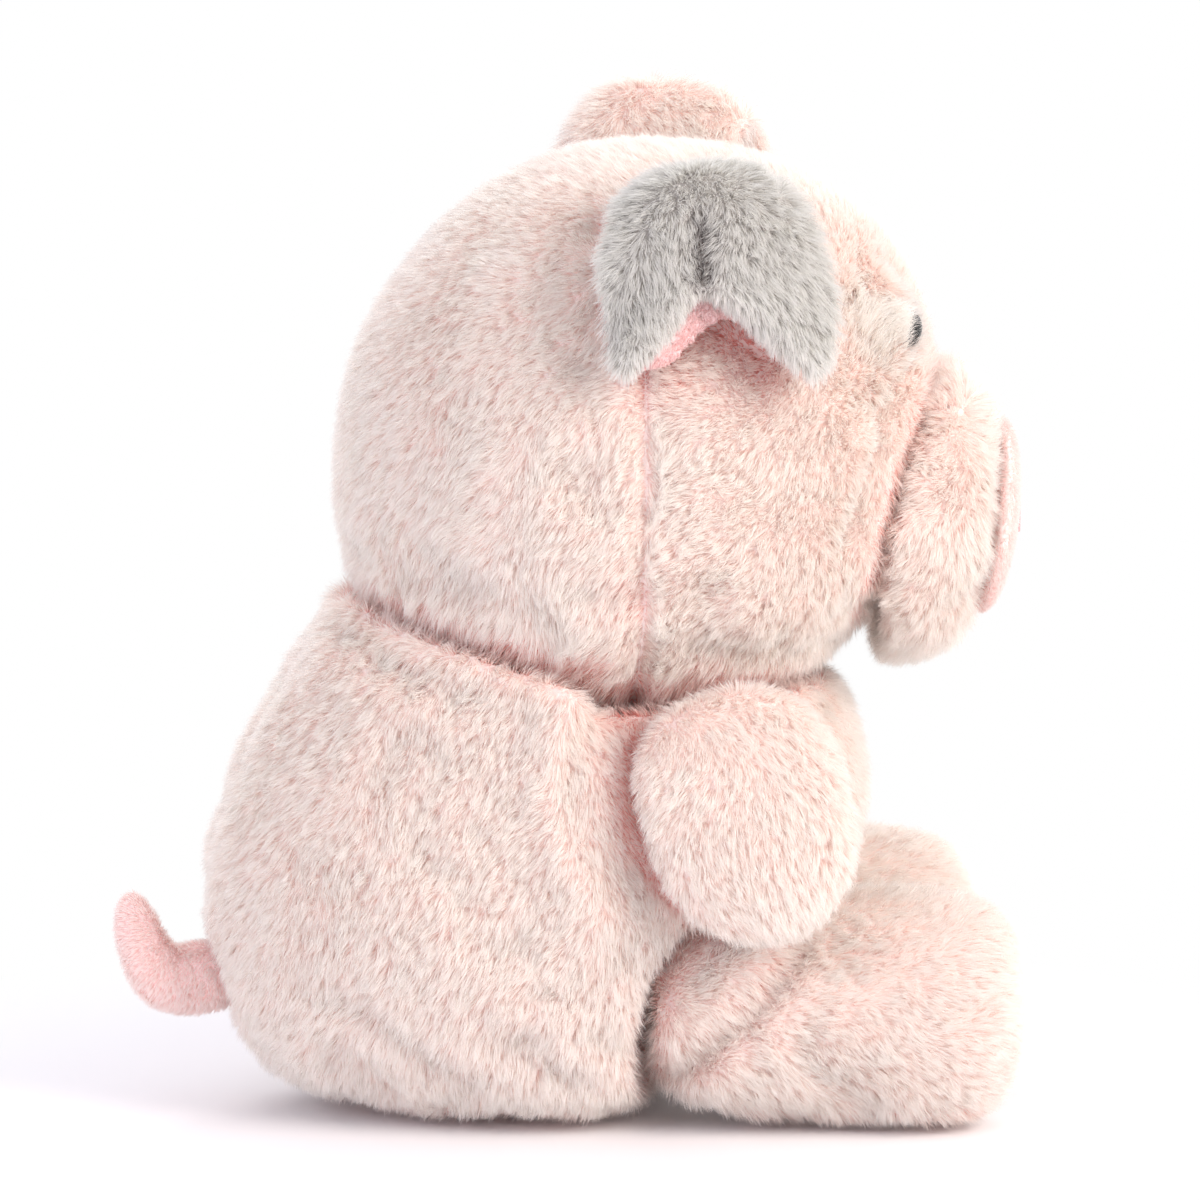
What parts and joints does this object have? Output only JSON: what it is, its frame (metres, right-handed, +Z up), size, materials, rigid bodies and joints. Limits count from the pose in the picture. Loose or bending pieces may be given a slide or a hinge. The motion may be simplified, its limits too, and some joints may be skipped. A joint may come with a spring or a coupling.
{
  "type": "plush pig",
  "caption": "Sitting plush pig with a pear-shaped body, large ball-seated head, folded ears, stub limbs and a curled tail.",
  "frame": {"origin": "on the table, under the middle of the seat", "axes": "+Z up; the pig looks along -Y, its tail is at +Y, its right side at -X"},
  "size_m": [0.1795, 0.2488, 0.275],
  "materials": {
    "pink_fur": "short dense polyester faux fur, matte with soft tips",
    "grey_fur": "longer warm grey faux fur, matte",
    "snout_velour": "smooth short velour",
    "tail_plush": "very short plush",
    "lining_velour": "smooth short velour",
    "embroidery": "satin stitch thread, slight sheen",
    "stuffing": "loose polyester fibre",
    "pouch_cloth": "plain woven pouch",
    "eye_black": "polished moulded plastic",
    "washer_plastic": "moulded plastic lock washer"
  },
  "bodies": {
    "torso": {"torso": "pink_fur", "torso_stuffing": "stuffing", "bean_pouch": "pouch_cloth"},
    "neck": {"neck_stuffing": "stuffing"},
    "head": {"head": "pink_fur", "head_stuffing": "stuffing", "muzzle": "pink_fur", "muzzle_stuffing": "stuffing", "snout": "snout_velour", "nostril_right": "embroidery", "nostril_left": "embroidery", "eye_right": "eye_black", "eye_left": "eye_black", "eye_washer_right": "washer_plastic", "eye_washer_left": "washer_plastic"},
    "ear_right": {"ear_right": "grey_fur", "ear_lining_right": "lining_velour"},
    "arm_right": {"arm_right": "pink_fur", "arm_stuffing_right": "stuffing"},
    "leg_right": {"leg_right": "pink_fur", "leg_stuffing_right": "stuffing"},
    "ear_left": {"ear_left": "pink_fur", "ear_lining_left": "lining_velour"},
    "arm_left": {"arm_left": "pink_fur", "arm_stuffing_left": "stuffing"},
    "leg_left": {"leg_left": "pink_fur", "leg_stuffing_left": "stuffing"},
    "tail": {"tail": "tail_plush"}
  },
  "joints": [
    {"name": "neck_turn", "type": "hinge", "parent": "torso", "child": "neck", "pos_m": [0, -0.016, 0.1], "axis": [0, 0, 1], "range_deg": [-20, 20], "stiffness_Nm_per_rad": 0.3},
    {"name": "head_nod", "type": "hinge", "parent": "neck", "child": "head", "pos_m": [0, -0.016, 0.19], "axis": [1, 0, 0], "range_deg": [-12, 3], "stiffness_Nm_per_rad": 0.8},
    {"name": "ear_right_lift", "type": "hinge", "parent": "head", "child": "ear_right", "pos_m": [-0.0455, -0.03, 0.25], "axis": [-0.1045, 0.9945, 0], "range_deg": [0, 20], "stiffness_Nm_per_rad": 0.005},
    {"name": "shoulder_right", "type": "hinge", "parent": "torso", "child": "arm_right", "pos_m": [-0.0615, -0.039, 0.096], "axis": [-0.9703, 0, 0.2419], "range_deg": [-20, 50], "stiffness_Nm_per_rad": 0.05},
    {"name": "hip_right", "type": "hinge", "parent": "torso", "child": "leg_right", "pos_m": [-0.0425, -0.045, 0.033], "axis": [-1, 0, 0], "range_deg": [0, 15], "stiffness_Nm_per_rad": 0.1},
    {"name": "ear_left_lift", "type": "hinge", "parent": "head", "child": "ear_left", "pos_m": [0.0455, -0.03, 0.25], "axis": [-0.1045, -0.9945, 0], "range_deg": [0, 12], "stiffness_Nm_per_rad": 0.005},
    {"name": "shoulder_left", "type": "hinge", "parent": "torso", "child": "arm_left", "pos_m": [0.0615, -0.039, 0.096], "axis": [-0.9703, 0, -0.2419], "range_deg": [-20, 50], "stiffness_Nm_per_rad": 0.05},
    {"name": "hip_left", "type": "hinge", "parent": "torso", "child": "leg_left", "pos_m": [0.0425, -0.045, 0.033], "axis": [-1, 0, 0], "range_deg": [0, 15], "stiffness_Nm_per_rad": 0.1},
    {"name": "tail_sway", "type": "hinge", "parent": "torso", "child": "tail", "pos_m": [0, 0.0985, 0.0365], "axis": [0, 0, 1], "range_deg": [-15, 15], "stiffness_Nm_per_rad": 0.002}
  ]
}
